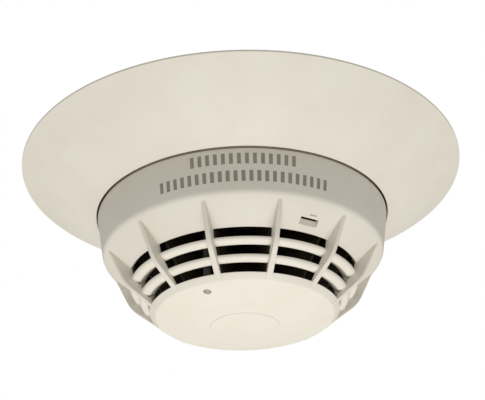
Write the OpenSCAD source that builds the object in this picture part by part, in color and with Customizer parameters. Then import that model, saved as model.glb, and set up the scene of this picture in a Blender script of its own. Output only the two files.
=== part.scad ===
// Ceiling heat detector: a ribbed plug-in head, twist-locked into a base
// that is hidden by a shallow conical trim ring.
//
// The origin is the centre of the ceiling face and +Z points up into the ceiling,
// so the detector hangs towards -Z. Levels are "drops": distances below the ceiling.
// Directions around the axis are azimuths in degrees from -Y towards +X.
// Turning the head towards smaller azimuths unlocks it.

/* [Trim ring] */
// Outer diameter of the trim ring, at the ceiling
ring_d = 152; // [148:1:190]
// Drop of the ring's inner lip
ring_drop = 17.8; // [15:0.1:24]
// Thickness of the ring's shell
ring_wall = 1.8; // [1.4:0.1:2.4]
// Height of the ring's upright outer edge
ring_edge = 0.6; // [0.4:0.1:1.5]
// Width of the flatter band beside the lip
lip_w = 2.2; // [1.5:0.1:4]
// Height gained across that band
lip_rise = 1.1; // [0.6:0.1:1.6]
// Gap between the lip and the head
lip_gap = 0.5; // [0.3:0.1:1.5]
// Thickness of the ring's stiffening gussets
gusset_t = 1.2; // [0.8:0.1:2]
// Number of gussets behind the ring
gusset_count = 16; // [8:1:24]

/* [Head cover] */
// Diameter of the head where it enters the ring
head_d = 99; // [96:1:120]
// Drop of the head's lowest point
head_drop = 57.5; // [52:0.1:70]
// Wall thickness of the cover
cover_wall = 1.8; // [1.4:0.1:2.4]
// Depth of the step where the cover goes behind the ring's lip
skirt_step = 0.9; // [0.6:0.1:1]
// Inward lean of the band, in degrees
band_angle = 8.4; // [4:0.1:12]
// Drop of the corner where the band meets the recessed cone
corner_drop = 32.1; // [30:0.1:33.5]
// Radius of the rounded shoulder between band and cone
shoulder_r = 3; // [2:0.1:6]
// Diameter of the flat-looking cap
cap_d = 59; // [55:0.5:62]
// Height of the cap's dome
dome_h = 3.85; // [2.5:0.05:5]
// Diameter of the raised disc in the middle of the cap
disc_d = 22.8; // [12:0.2:36]
// Height of that disc
disc_h = 0.25; // [0.1:0.05:0.5]

/* [Ribs and louvres] */
// Number of ribs around the cover
rib_count = 12; // [6:1:16]
// Rib thickness at the shoulder
rib_top_t = 1.4; // [1:0.1:2.4]
// Rib thickness at the cap
rib_cap_t = 2.1; // [1.2:0.1:3]
// Radius where the rib's edge bends
rib_knee_r = 13; // [6:0.5:20]
// Drop between one louvre and the next
louvre_pitch = 4.5; // [4.2:0.1:5]
// Radius step between one louvre and the next
louvre_step = 3.25; // [3:0.05:3.5]
// Height of a louvre's rounded nose
nose_h = 1.6; // [1.4:0.05:2]
// Radial depth of the nose
nose_w = 2.75; // [2.2:0.05:3]
// Radial depth of the whole louvre
louvre_w = 4.9; // [4.2:0.1:5.2]

/* [Release window] */
// Width of the window
window_w = 6.4; // [5:0.1:7.5]
// Height of the window, measured along the cone
window_h = 2.6; // [2.2:0.1:3.5]
// Part of the window's height that is open right through
window_open = 1.1; // [0.8:0.1:1.4]
// Depth of the window's sloping floor where the open part starts
window_depth = 1.1; // [0.6:0.1:1.4]

/* [Base] */
// Thickness of the base's floor
floor_t = 2.4; // [2:0.1:3.5]
// Thickness of the base's round wall
base_wall = 2.0; // [1.6:0.1:2.6]
// How far the floor reaches out beyond the wall
floor_reach = 11.1; // [9:0.1:12]
// Diameter of the cable entry
cable_d = 26; // [18:1:28]
// Width of the slots for the box screws
slot_w = 4.5; // [4:0.1:5]
// Screw spacing at the middle of the long slots
wide_spacing = 76.6; // [74:0.1:78]
// Screw spacing at the middle of the short slots
narrow_spacing = 55.55; // [54:0.05:60]
// How far each screw can move along its slot
slot_travel = 6.7; // [2:0.05:7]

/* [Twist lock] */
// Angle that each lug covers
lug_span = 14; // [10:1:14]
// Radial room between the base's wall and the rear housing
lug_room = 2.5; // [2.2:0.1:3.5]
// Height of a lug
lug_h = 2.0; // [1.6:0.1:2.4]
// Thickness of the ledge under a lug
ledge_t = 1.8; // [1.4:0.1:2.4]

/* [Terminals and blades] */
// Height of a terminal block above the floor
block_h = 5.0; // [4.5:0.1:7]
// Thickness of the terminal strips
strip_t = 0.8; // [0.6:0.05:1]
// Thickness of the contact blades
blade_t = 0.8; // [0.6:0.05:1]
// Width of the contact blades
blade_w = 5.0; // [4:0.1:6]
// Thickness of the springy lower leaf
leaf_t = 0.5; // [0.4:0.05:0.7]
// Diameter of the terminal screws
screw_d = 3.5; // [3:0.1:4]
// Thickness of the wire clamp plates
clamp_t = 1.0; // [0.8:0.1:1.4]
// Height of the terminal screws' heads
screw_head_h = 2.2; // [1.6:0.1:2.6]
// Diameter of the blade rivets
rivet_d = 2.0; // [1.6:0.1:2.4]

/* [Lock lever] */
// Width of the lever
lever_w = 7.4; // [6:0.1:9]
// Thickness of the lever
lever_t = 1.5; // [1.2:0.1:1.6]
// Diameter of the lever's pin
pin_d = 1.6; // [1.2:0.1:2]
// Diameter of the spring's wire
spring_wire = 0.6; // [0.4:0.05:0.8]

/* [Inside the head] */
// Thickness of the rear housing's plate
plate_t = 1.8; // [1.4:0.1:2.4]
// Thickness of the rear housing's rim
rim_t = 1.8; // [1.4:0.1:2.4]
// Room between the plate and the circuit board
post_h = 4.4; // [4.4:0.1:7]
// Thickness of the circuit board
board_t = 1.6; // [1:0.1:2]
// Room between the circuit board and the chamber liner
board_gap = 1.6; // [1.5:0.1:2.5]
// Thickness of the chamber liner's disc
liner_t = 1.2; // [0.8:0.1:2]
// Thickness of the liner's vanes
vane_t = 1.0; // [0.8:0.1:1.6]
// Diameter of the address dials
dial_d = 7.5; // [6:0.1:8]
// Width of the address switches' bodies
switch_w = 10; // [9.5:0.1:11]
// Diameter of the light pipe
pipe_d = 2.4; // [2:0.1:3]
// Distance of the light pipe from the axis
pipe_r = 25.7; // [24:0.1:27]
// Diameter of the thermistor's bead
bead_d = 3.8; // [3.4:0.1:4.4]
// Diameter of the thermistor's leads
lead_d = 0.5; // [0.4:0.05:0.7]
// Diameter of the board screws
board_screw_d = 2.2; // [2:0.1:2.6]

/* [Hidden] */
$fn = 96;

// Fits
touch_gap = 0.1;      // between flat faces that slide on each other
fit_gap = 0.25;       // around parts that drop into a shell
shaft_gap = 0.06;     // radial, a shaft turning in its bore
hole_gap = 0.05;      // radial, a screw, rivet or pin in its own hole
over = 1;             // how far a cut runs past the face it starts from

// Radii, from the outside in
ring_r = ring_d / 2;
head_r = head_d / 2;
cap_r = cap_d / 2;
lip_r = head_r + lip_gap;
skirt_gap = 0.8;
base_ro = head_r - cover_wall - skirt_gap;
base_ri = base_ro - base_wall;
house_r = base_ri - lug_room;
board_r = house_r - rim_t - fit_gap;
floor_r = base_ro + floor_reach;
terminal_r = house_r - 11.4;

// Trim ring: its shell, and the hub that grips the base's rim
lip_round = 0.5;
lip_start = [lip_r + lip_w, ring_drop - lip_rise];
lip_edge = [lip_r, ring_drop + 0.62 * lip_round];
ring_dir = unit(lip_start - [ring_r, ring_edge]);
ring_in = [-ring_dir[1], ring_dir[0]] * ring_wall;
hub_in = floor_r + fit_gap;
hub_t = 1.4;
rebate_w = 1.8;
rebate_h = 1.2;

// Levels, from the ceiling down
block_drop = floor_t + block_h;
strip_drop = block_drop + strip_t;
tab_drop = strip_drop + touch_gap;
leaf_drop = tab_drop + blade_t + touch_gap;
clamp_drop = strip_drop + clamp_t;
back_drop = clamp_drop + screw_head_h + 0.6;
lug_top = back_drop + 1;
plate_drop = back_drop + plate_t;
board_top = plate_drop + post_h;
board_drop = board_top + board_t;
liner_top = board_drop + board_gap;
liner_drop = liner_top + liner_t;
flange_t = board_gap;
flange_top = liner_top - flange_t;
ledge_drop = liner_drop + flange_t;
wall_drop = flange_top - 1.4;      // the base's wall ends short of the head's flange
skirt_top = back_drop + 2;
band_top = max(ring_drop, skirt_top + 2);
band_edge = band_top + 0.2;
cap_drop = head_drop - dome_h - disc_h;

// The recessed stack: strip, louvres and cone, counted up from the cap
strip_foot = [cap_r, cap_drop];
strip_run = [2.1, 1.7];
strip_head = [cap_r + strip_run[0], cap_drop - strip_run[1]];
function louvre_at(k) = strip_head + k * [louvre_step, -louvre_pitch];
cone_foot = louvre_at(3) + [-nose_w, nose_h];
cone_angle = atan2(cone_foot[1] - corner_drop, band_r(corner_drop) - cone_foot[0]);
cone_dir = [-cos(cone_angle), sin(cone_angle)];
cone_out = [sin(cone_angle), cos(cone_angle)];
band_dir = [-sin(band_angle), cos(band_angle)];
band_start = [head_r, band_top];
band_shift = cover_wall / cos(band_angle);

// Ribs: how far up the cone they start, and where their edge bends, from the cap's rim
rib_start = 9.7;
rib_depth = 0.8;              // how far the ribs reach in behind the louvres' outer edges
rib_knee = [cap_r + 10.5, cap_drop - 8.1];
window_up = 3.65;             // middle of the window, measured up the cone

// The cap's dome
dome_r = (cap_r * cap_r + dome_h * dome_h) / (2 * dome_h);

// Thermistor and its holder
lead_x = 1.27;
holder_d = 7;
holder_bore = 5;
bead_top = head_drop - 12.4;

// Terminals, lugs and posts around the axis
terminal_azimuths = [45, 135, 225, 315];
lug_azimuths = [75, 195, 315];
post_azimuths = [15, 135, 255];
post_r = board_r - 6.2;
blade_foot = [-8, -0.5];      // where a blade's foot lies, along the turning direction
mean_foot = (blade_foot[0] + blade_foot[1]) / 2;
clip_reach = 7;               // length of the springy leaf
strip_len = 18;               // length of a terminal strip
screw_at = 13;                // place of the terminal screw along the strip
blade_tip = 6.3;              // place of a blade's tip along the strip

// Lock lever
window_azimuth = 30;
lever_in = base_ri + 0.2;
lever_axis = [base_ri + 1.0, floor_t + 3.0];
barrel_d = pin_d + 2;
lever_drop = wall_drop - 0.4;
ear_t = 2;
lever_slot = lever_w + 1;
catch_r = house_r + 1.0;

// Light pipe and switches
pipe_azimuth = -26.8;
pipe_hole_d = pipe_d + 0.4;
switch_x = 8;
switch_top = back_drop + 1.2;
dial_sink = 1.0;
dial_t = 1.3;
dial_top = switch_top + dial_sink - touch_gap - dial_t;
dial_shaft_d = 3;
dial_shaft_len = 2.3;

// Colours
cream = [0.91, 0.88, 0.81];
black = [0.08, 0.08, 0.08];
grey = [0.55, 0.55, 0.53];
green = [0.10, 0.36, 0.20];
tin = [0.80, 0.79, 0.74];
steel = [0.72, 0.73, 0.75];
clear = [0.85, 0.90, 0.92];

// ---------- Helpers ----------

function unit(v) = v / norm(v);

// Where the line through p along u crosses the line through q along v
function meet(p, u, q, v) = p + u * (cross(q - p, v) / cross(u, v));

// Points of the arc of radius r that rounds the corner at q between p and s
function fillet(p, q, s, r, steps = 8) =
    let (
        u = unit(p - q),
        v = unit(s - q),
        half = acos(u * v) / 2,
        c = q + unit(u + v) * (r / sin(half)),
        first = q + u * (r / tan(half)) - c,
        last = q + v * (r / tan(half)) - c,
        start = atan2(first[1], first[0]),
        sweep = ((atan2(last[1], last[0]) - start + 540) % 360) - 180
    )
    [for (i = [0:steps]) c + r * [cos(start + sweep * i / steps), sin(start + sweep * i / steps)]];

// Radius of the band's outer face at a drop
function band_r(drop) = head_r - tan(band_angle) * max(0, drop - band_top);

// Radius of the cover's inner face at a drop
function inner_r(drop) = band_r(drop) - band_shift;

// Drop of the domed cap at a radius
function dome_drop(r) = cap_drop + dome_h - (dome_r - sqrt(dome_r * dome_r - r * r));

// Turn an outline of [radius, drop] points about the axis
module lathe(points) {
    rotate_extrude()
        polygon([for (p = points) [p[0], -p[1]]]);
}

// The same, over part of a turn that starts at an azimuth
module lathe_arc(points, azimuth, span) {
    rotate([0, 0, azimuth - 90])
        rotate_extrude(angle = span)
            polygon([for (p = points) [p[0], -p[1]]]);
}

// Outline of a square ring section
function section(r_in, r_out, top, bottom) = [[r_in, top], [r_out, top], [r_out, bottom], [r_in, bottom]];

// Upright round bar between two drops
module bar(d, top, bottom) {
    translate([0, 0, -bottom])
        cylinder(d = d, h = bottom - top);
}

// Box between two corners given as [out, along, drop]
module block(low, high) {
    translate([low[0], low[1], -high[2]])
        cube([high[0] - low[0], high[1] - low[1], high[2] - low[2]]);
}

// Turn local X outwards at an azimuth; local Y then runs along the locking direction
module at(azimuth, radius = 0) {
    rotate([0, 0, azimuth - 90])
        translate([radius, 0, 0])
            children();
}

// Plate of thickness t that stands in the plane of the axis, from [radius, drop] points
module fin(points, t) {
    rotate([90, 0, 0])
        translate([0, 0, -t / 2])
            linear_extrude(t)
                polygon([for (p = points) [p[0], -p[1]]]);
}

// Two slots on a line, round a spacing
module screw_slots(spacing) {
    for (side = [-1, 1])
        translate([side * spacing / 2, 0, -floor_t - over])
            linear_extrude(floor_t + 2 * over) {
                for (end = [-1, 1])
                    translate([end * slot_travel / 2, 0])
                        circle(d = slot_w);
                square([slot_travel, slot_w], center = true);
            }
}

// ---------- Trim ring ----------

module trim_ring() {
    inner_top = meet([ring_r, ring_edge] + ring_in, ring_dir, [0, 0], [1, 0]);
    inner_lip = lip_start + ring_in;
    shell = concat(
        [[inner_top[0], 0], [ring_r, 0], [ring_r, ring_edge], lip_start],
        fillet(lip_start, lip_edge, lip_edge - [0, ring_wall], lip_round),
        [[lip_r, ring_drop - ring_wall], inner_lip]
    );
    color(cream) {
        lathe(shell);
        intersection() {
            union() {
                lathe(section(hub_in, hub_in + hub_t, 0, ring_drop));
                for (i = [0:gusset_count - 1])
                    at((i + 0.5) * 360 / gusset_count)
                        block([hub_in + hub_t / 2, -gusset_t / 2, 0.5],
                              [ring_r - 3, gusset_t / 2, ring_drop]);
            }
            lathe([[0, 0], inner_top, inner_top - ring_in / 2, inner_lip - ring_in / 2, [0, inner_lip[1]]]);
        }
        for (a = [0, 90, 180, 270])
            lathe_arc(section(floor_r - rebate_w + 0.2, hub_in + hub_t / 2,
                              touch_gap, rebate_h - touch_gap),
                      a - 8, 16);
    }
}

// ---------- Base ----------

module mounting_base() {
    color(cream)
        difference() {
            union() {
                base_body();
                for (a = lug_azimuths)
                    bayonet_ledge(a);
                for (a = terminal_azimuths)
                    at(a, terminal_r)
                        block([-6.5, -0.4, floor_t - 0.2], [6.5, strip_len + 0.4, block_drop]);
                lever_ears();
            }
            screw_slots(wide_spacing);
            rotate([0, 0, 90])
                screw_slots(narrow_spacing);
            for (a = terminal_azimuths)
                at(a, terminal_r)
                    translate([0, screw_at, -block_drop - over])
                        cylinder(d = screw_d + 2 * hole_gap, h = block_h - 0.5 + over);
            at(window_azimuth)
                block([base_ri - 2, -lever_slot / 2, floor_t - 0.3],
                      [base_ro + 2, lever_slot / 2, wall_drop + over]);
            at(window_azimuth)
                translate([lever_axis[0], 0, -lever_axis[1]])
                    rotate([90, 0, 0])
                        cylinder(d = pin_d + 2 * hole_gap, h = lever_slot + 2 * ear_t + 2, center = true);
        }
}

// Floor with its rebated rim, the round wall and a collar that keeps wires off the cable entry's edge
module base_body() {
    cable_r = cable_d / 2;
    collar_w = 1.4;
    collar_h = 1.6;
    lathe([
        [cable_r, 0], [floor_r - rebate_w, 0], [floor_r - rebate_w, rebate_h], [floor_r, rebate_h],
        [floor_r, floor_t], [base_ro, floor_t], [base_ro, wall_drop], [base_ri, wall_drop],
        [base_ri, floor_t], [cable_r + collar_w, floor_t], [cable_r + collar_w, floor_t + collar_h],
        [cable_r, floor_t + collar_h]
    ]);
}

// Ledge that carries a lug, with a stop at its locked end
module bayonet_ledge(azimuth) {
    in_r = house_r + 0.4;
    ledge_top = lug_top + lug_h + touch_gap;
    half = lug_span / 2;
    lathe_arc(section(in_r, base_ri + 0.5, ledge_top, ledge_top + ledge_t),
              azimuth - half - 1.5, lug_span + 3.8);
    lathe_arc(section(in_r + 0.2, base_ri + 0.6, lug_top - 0.4, ledge_top + ledge_t / 2),
              azimuth + half + 0.3, 1.8);
}

// Two ears that hold the lever's pin
module lever_ears() {
    at(window_azimuth)
        for (side = [-1, 1])
            translate([0, side * (lever_slot + ear_t) / 2, 0])
                block([base_ri - 1, -ear_t / 2, floor_t - 0.2],
                      [base_ro + 1, ear_t / 2, lever_axis[1] + 2]);
}

// ---------- Terminals ----------

module contact_clip(number) {
    color(tin)
        at(terminal_azimuths[number - 1], terminal_r)
            difference() {
                union() {
                    block([-5, 0, block_drop], [5, strip_len, strip_drop]);
                    block([-3, 0.2, leaf_drop], [3, clip_reach + leaf_t, leaf_drop + leaf_t]);
                    block([-3, clip_reach, strip_drop - strip_t / 2],
                          [3, clip_reach + leaf_t, leaf_drop + leaf_t]);
                }
                translate([0, screw_at, -strip_drop - over])
                    cylinder(d = screw_d + 2 * hole_gap, h = strip_t + 2 * over);
            }
}

module wire_clamps() {
    color(steel)
        for (a = terminal_azimuths)
            at(a, terminal_r)
                translate([0, screw_at, 0])
                    difference() {
                        union() {
                            block([-4, -4, strip_drop], [4, 4, clamp_drop]);
                            for (side = [-1, 1])
                                block([side * 4.4 - 0.6, -4, strip_drop],
                                      [side * 4.4 + 0.6, 4, clamp_drop + 0.8]);
                        }
                        translate([0, 0, -clamp_drop - over])
                            cylinder(d = screw_d + 2 * hole_gap, h = clamp_t + 2 * over);
                    }
}

module terminal_screws() {
    color(steel)
        for (a = terminal_azimuths)
            at(a, terminal_r)
                translate([0, screw_at, 0])
                    difference() {
                        union() {
                            bar(6.8, clamp_drop, clamp_drop + screw_head_h);
                            bar(screw_d, floor_t + 1, clamp_drop + 0.1);
                        }
                        cross_recess(clamp_drop + screw_head_h, 3.6, 0.8, 1.2);
                    }
}

// Cross-shaped recess cut upwards from a level
module cross_recess(drop, len, wid, deep) {
    block([-len / 2, -wid / 2, drop - deep], [len / 2, wid / 2, drop + over]);
    block([-wid / 2, -len / 2, drop - deep], [wid / 2, len / 2, drop + over]);
}

// ---------- Lock lever ----------

module lock_lever() {
    tooth = [[lever_in + 0.3, lever_drop - 4.4], [lever_in - 1.4, lever_drop - 3],
             [lever_in - 1.4, lever_drop - 1.4], [lever_in + 0.3, lever_drop - 0.8]];
    coil_room = 3 * spring_wire + 0.7;
    color(grey)
        at(window_azimuth)
            difference() {
                union() {
                    block([lever_in, -lever_w / 2, lever_axis[1] + barrel_d / 2 + 0.1],
                          [lever_in + lever_t, lever_w / 2, lever_drop]);
                    block([lever_in, -lever_w / 2, lever_axis[1]],
                          [lever_in + lever_t, lever_w / 2 - coil_room, lever_drop]);
                    translate([lever_axis[0], lever_w / 2 - coil_room, -lever_axis[1]])
                        rotate([90, 0, 0])
                            cylinder(d = barrel_d, h = lever_w - coil_room);
                    fin(tooth, 4);
                }
                translate([lever_axis[0], 0, -lever_axis[1]])
                    rotate([90, 0, 0])
                        cylinder(d = pin_d + 2 * shaft_gap, h = lever_w + 2, center = true);
            }
}

// Torsion spring beside the barrel: three coils and a leg that lies on the lever
module lever_spring() {
    coil_r = pin_d / 2 + 0.2 + spring_wire / 2;
    first = lever_w / 2 - 0.2 - spring_wire / 2;
    coil_step = spring_wire * 0.94;
    color(steel)
        at(window_azimuth)
            translate([lever_axis[0], first, -lever_axis[1]]) {
                rotate([90, 0, 0])
                    rotate_extrude()
                        for (i = [0:2])
                            translate([coil_r, i * coil_step])
                                circle(d = spring_wire);
                translate([-coil_r, -coil_step, -6])
                    cylinder(d = spring_wire * 0.9, h = 6);
            }
}

module lever_pin() {
    color(steel)
        at(window_azimuth)
            translate([lever_axis[0], 0, -lever_axis[1]])
                rotate([90, 0, 0])
                    cylinder(d = pin_d, h = lever_slot + 2 * ear_t, center = true);
}

// ---------- Head cover ----------

module head_cover() {
    color(cream)
        difference() {
            union() {
                cover_shell();
                for (k = [1, 2])
                    lathe(louvre(louvre_at(k)));
                cap_shell();
                for (i = [0:rib_count - 1])
                    at((i + 0.5) * 360 / rib_count)
                        rib();
                snap_bumps();
                window_nub();
                band_mark();
            }
            release_window();
            tool_way(inner_r(ledge_drop) - 0.2);
            at(pipe_azimuth, pipe_r)
                bar(pipe_hole_d, cap_drop - 4, head_drop + over);
        }
}

// Skirt, band, shoulder and cone, with the ledge inside that carries the liner
module cover_shell() {
    corner = [band_r(corner_drop), corner_drop];
    cone_in = cone_foot - cone_out * cover_wall;
    inner_corner = meet([inner_r(band_top), band_top], band_dir, cone_in, cone_dir);
    ledge_in = inner_r(ledge_drop) - 2.6;
    lathe(concat(
        [[head_r - band_shift, skirt_top], [head_r - skirt_step, skirt_top],
         [head_r - skirt_step, band_edge], [band_r(band_edge), band_edge]],
        fillet(band_start, corner, cone_foot, shoulder_r),
        [cone_foot, cone_in, inner_corner, [inner_r(ledge_drop + 2.6), ledge_drop + 2.6],
         [ledge_in, ledge_drop], [ledge_in, liner_drop], [inner_r(liner_drop), liner_drop],
         [inner_r(band_top), band_top]]
    ));
}

// Section of one louvre whose nose starts at point a
function louvre(a) = concat(
    [for (t = [0:15:90]) a + [-nose_w * (1 - cos(t)), nose_h * sin(t)]],
    [a + [-louvre_w, nose_h - (louvre_w - nose_w) * 0.67],
     a + [-louvre_w + 0.4, nose_h - (louvre_w - nose_w) * 0.67 - 1.2],
     a + [-0.5, -0.25]]
);

// Strip under the lowest slot and the domed cap with its raised disc
module cap_shell() {
    disc_r = disc_d / 2;
    edge = fillet(strip_head, strip_foot, [cap_r - 3, dome_drop(cap_r - 3)], 0.2, 4);
    steps = 8;
    from_r = cap_r - 0.6;
    dome = [for (i = [0:steps]) let (r = from_r + (disc_r - from_r) * i / steps) [r, dome_drop(r)]];
    disc = [for (i = [0:4]) let (r = disc_r * (1 - i / 4)) [r, dome_drop(r) + disc_h]];
    inside = [for (i = [0:steps]) let (r = (cap_r - 1.2) * i / steps) [r, dome_drop(r) - cover_wall]];
    lathe(concat([strip_head], edge, dome, disc, inside, [strip_head + [-1.6, -0.5]]));
}

// A rib: its edge leaves the shoulder, bends at the knee and ends at the cap's rim
module rib() {
    knee = rib_knee;
    top = knee + (cone_foot - cone_dir * rib_start - knee) * 1.09;
    foot = [cap_r + 0.3, cap_drop];
    inner_line = louvre_at(0) + [-rib_depth - 0.2, 0.2];
    deep = louvre_at(2) + [-rib_depth, 0.3];
    in_wall = cone_foot - cone_dir * 0.3 - cone_out * cover_wall / 2;
    outline = concat(
        [top], fillet(top, knee, foot, rib_knee_r),
        [foot, foot + [-2, -0.4], inner_line, deep, in_wall, top - cone_out * cover_wall / 3]
    );
    intersection() {
        fin(outline, rib_cap_t + 1);
        translate([0, 0, -head_drop - over])
            linear_extrude(head_drop)
                polygon([[cap_r, -rib_cap_t / 2], [head_r, -rib_top_t / 2 + 0.1],
                         [head_r, rib_top_t / 2 - 0.1], [cap_r, rib_cap_t / 2],
                         [0, rib_cap_t / 2], [0, -rib_cap_t / 2]]);
    }
}

// Bumps that hold the rear housing's flange in the cover
module snap_bumps() {
    low = flange_top - hole_gap;
    wall_r = inner_r(low);
    for (a = [60, 150, 240, 330])
        lathe_arc([[wall_r - 0.9, low], [wall_r + 0.5, low],
                   [wall_r + 0.5, low - 0.8], [wall_r - 0.2, low - 0.8]],
                  a - 5, 10);
}

// Place children on the cone at the window, with Z out of the cone and X down along it
module on_cone() {
    middle = cone_foot - cone_dir * window_up;
    at(window_azimuth)
        translate([middle[0], 0, -middle[1]])
            rotate([0, 180 - cone_angle, 0])
                children();
}

// Pocket whose floor slopes in from its lower edge to a slot along the upper edge
module release_window() {
    slot_edge = window_open - window_h / 2;
    rise = window_depth / (window_h - window_open);
    on_cone()
        rotate([90, 0, 0])
            linear_extrude(window_w, center = true)
                polygon([[-window_h / 2, -cover_wall - over], [slot_edge, -cover_wall - over],
                         [slot_edge, -window_depth], [window_h / 2 + over, rise * over],
                         [-window_h / 2, rise * over]]);
}

module window_nub() {
    on_cone()
        translate([-window_h / 2 - 1.1, -0.6, -0.3])
            cube([0.5, 2.4, 0.65]);
}

// Fine raised line and dot on the band that show where the head lines up with the base
module band_mark() {
    at(window_azimuth - 0.5)
        translate([band_start[0], 0, -band_top])
            rotate([0, band_angle, 0]) {
                translate([-0.5, -0.12, -3.0])
                    cube([0.62, 0.24, 2.6]);
                translate([-0.5, 0, -3.2])
                    rotate([0, 90, 0])
                        cylinder(d = 0.7, h = 0.65);
            }
}

// Way for a thin blade from the window up to the lock lever
module tool_way(out_r) {
    at(window_azimuth)
        block([base_ri - 2, -4, flange_top - 0.4], [out_r, 4, ledge_drop + 3]);
}

// ---------- Rear housing and contacts ----------

module rear_housing() {
    flange_r = inner_r(liner_top) - fit_gap;
    color(cream)
        difference() {
            union() {
                lathe(section(0, house_r, back_drop, plate_drop));
                lathe(section(house_r - rim_t, house_r, back_drop, liner_top));
                lathe(section(house_r - rim_t, flange_r, flange_top, liner_top));
                for (a = lug_azimuths)
                    lathe_arc(section(house_r - 0.5, base_ri - 0.3, lug_top, lug_top + lug_h),
                              a - lug_span / 2, lug_span);
                lathe_arc(section(house_r - 0.5, catch_r, lever_drop - 4, lever_drop),
                          window_azimuth + 5, 2.4);
                for (a = post_azimuths)
                    at(a, post_r)
                        bar(5.6, plate_drop - 0.2, board_top);
            }
            for (x = [-switch_x, switch_x])
                translate([x, 0, 0])
                    block([-1, -1, 0] * (switch_w / 2 + fit_gap) + [0, 0, back_drop - over],
                          [1, 1, 0] * (switch_w / 2 + fit_gap) + [0, 0, plate_drop + over]);
            for (a = post_azimuths)
                at(a, post_r)
                    bar(board_screw_d + 2 * hole_gap, plate_drop - 0.4, board_top + over);
            blade_holes(back_drop - over, plate_drop + over);
            tool_way(flange_r + over);
        }
}

// Holes for every blade's tail and rivet between two drops
module blade_holes(top, bottom) {
    for (a = terminal_azimuths)
        at(a, terminal_r) {
            block([-1.6, blade_foot[0] - 0.1, top], [1.6, blade_foot[0] + blade_t + 0.1, bottom]);
            translate([0, mean_foot, 0])
                bar(rivet_d + 2 * hole_gap, top, bottom);
        }
}

// Bent strip: foot on the housing, leg, tab that slides into a clip, tail to the board
module contact_blade(number) {
    color(tin)
        at(terminal_azimuths[number - 1], terminal_r)
            difference() {
                union() {
                    block([-3, blade_foot[0], back_drop - blade_t], [3, blade_foot[1], back_drop]);
                    block([-blade_w / 2, blade_foot[1] - blade_t, tab_drop],
                          [blade_w / 2, blade_foot[1], back_drop]);
                    block([-blade_w / 2, blade_foot[1] - blade_t, tab_drop],
                          [blade_w / 2, blade_tip - blade_w / 4, tab_drop + blade_t]);
                    translate([0, blade_tip - blade_w / 4, 0])
                        blade_point();
                    block([-1.5, blade_foot[0], back_drop - blade_t],
                          [1.5, blade_foot[0] + blade_t, board_drop + 0.6]);
                }
                translate([0, mean_foot, 0])
                    bar(rivet_d + 2 * hole_gap, back_drop - blade_t - over, back_drop + over);
            }
}

// Tapered end of a blade's tab
module blade_point() {
    translate([0, 0, -tab_drop - blade_t])
        linear_extrude(blade_t)
            polygon([[-blade_w / 2, 0], [blade_w / 2, 0],
                     [blade_w / 4, blade_w / 4], [-blade_w / 4, blade_w / 4]]);
}

module blade_rivets() {
    color(steel)
        for (a = terminal_azimuths)
            at(a, terminal_r)
                translate([0, mean_foot, 0]) {
                    bar(rivet_d, back_drop - blade_t - 0.1, plate_drop + 0.1);
                    bar(rivet_d * 1.8, back_drop - blade_t - 0.5, back_drop - blade_t);
                    bar(rivet_d * 1.7, plate_drop, plate_drop + 0.5);
                }
}

// ---------- Circuit board and what stands on it ----------

module circuit_board() {
    color(green)
        difference() {
            lathe(section(0, board_r, board_top, board_drop));
            for (a = post_azimuths)
                at(a, post_r)
                    bar(board_screw_d + 0.4, board_top - over, board_drop + over);
            for (a = terminal_azimuths)
                at(a, terminal_r)
                    block([-1.6, blade_foot[0] - 0.1, board_top - over],
                          [1.6, blade_foot[0] + blade_t + 0.1, board_drop + over]);
            for (side = [-1, 1])
                translate([side * lead_x, 0, 0])
                    bar(lead_d + 2 * hole_gap, board_top - over, board_drop + over);
        }
}

module board_screws() {
    color(steel)
        for (a = post_azimuths)
            at(a, post_r)
                difference() {
                    union() {
                        bar(board_screw_d, plate_drop, board_drop + 0.1);
                        bar(board_screw_d * 2, board_drop, board_drop + 1.3);
                    }
                    cross_recess(board_drop + 1.3, board_screw_d * 1.1, 0.5, 0.8);
                }
}

module address_switch(side) {
    color(grey)
        translate([side * switch_x, 0, 0])
            difference() {
                block([-switch_w / 2, -switch_w / 2, switch_top], [switch_w / 2, switch_w / 2, board_top]);
                bar(dial_d + 0.4, switch_top - over, switch_top + dial_sink);
                bar(dial_shaft_d + 2 * shaft_gap, switch_top, dial_top + dial_t + dial_shaft_len + 0.2);
            }
}

// Dial with a screwdriver slot that has an arrow head at one end
module address_dial(side) {
    color(cream)
        translate([side * switch_x, 0, 0])
            difference() {
                union() {
                    bar(dial_d, dial_top, dial_top + dial_t);
                    bar(dial_shaft_d, dial_top + dial_t - 0.1, dial_top + dial_t + dial_shaft_len);
                }
                translate([0, 0, -dial_top - 0.6])
                    linear_extrude(0.6 + over) {
                        square([1, dial_d * 0.7], center = true);
                        translate([0, dial_d * 0.35])
                            polygon([[-1.3, -0.9], [1.3, -0.9], [0, 0.6]]);
                    }
            }
}

module microcontroller() {
    body = 8;
    lead_pitch = 0.8;
    color(black)
        translate([0, 19, 0]) {
            block([-body / 2, -body / 2, board_top - 1.4], [body / 2, body / 2, board_top - 0.15]);
            for (turn = [0:90:270], i = [-4:4])
                rotate([0, 0, turn])
                    translate([i * lead_pitch, body / 2, 0]) {
                        block([-0.18, -0.2, board_top - 0.8], [0.18, 0.5, board_top - 0.65]);
                        block([-0.18, 0.35, board_top - 0.8], [0.18, 0.5, board_top]);
                        block([-0.18, 0.35, board_top - 0.15], [0.18, 1, board_top]);
                    }
        }
}

module capacitor() {
    color(steel)
        translate([0, -18, 0]) {
            bar(6.3, board_top - 4, board_top - 0.8);
            block([-3.3, -3.3, board_top - 0.9], [3.3, 3.3, board_top]);
        }
}

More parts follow.
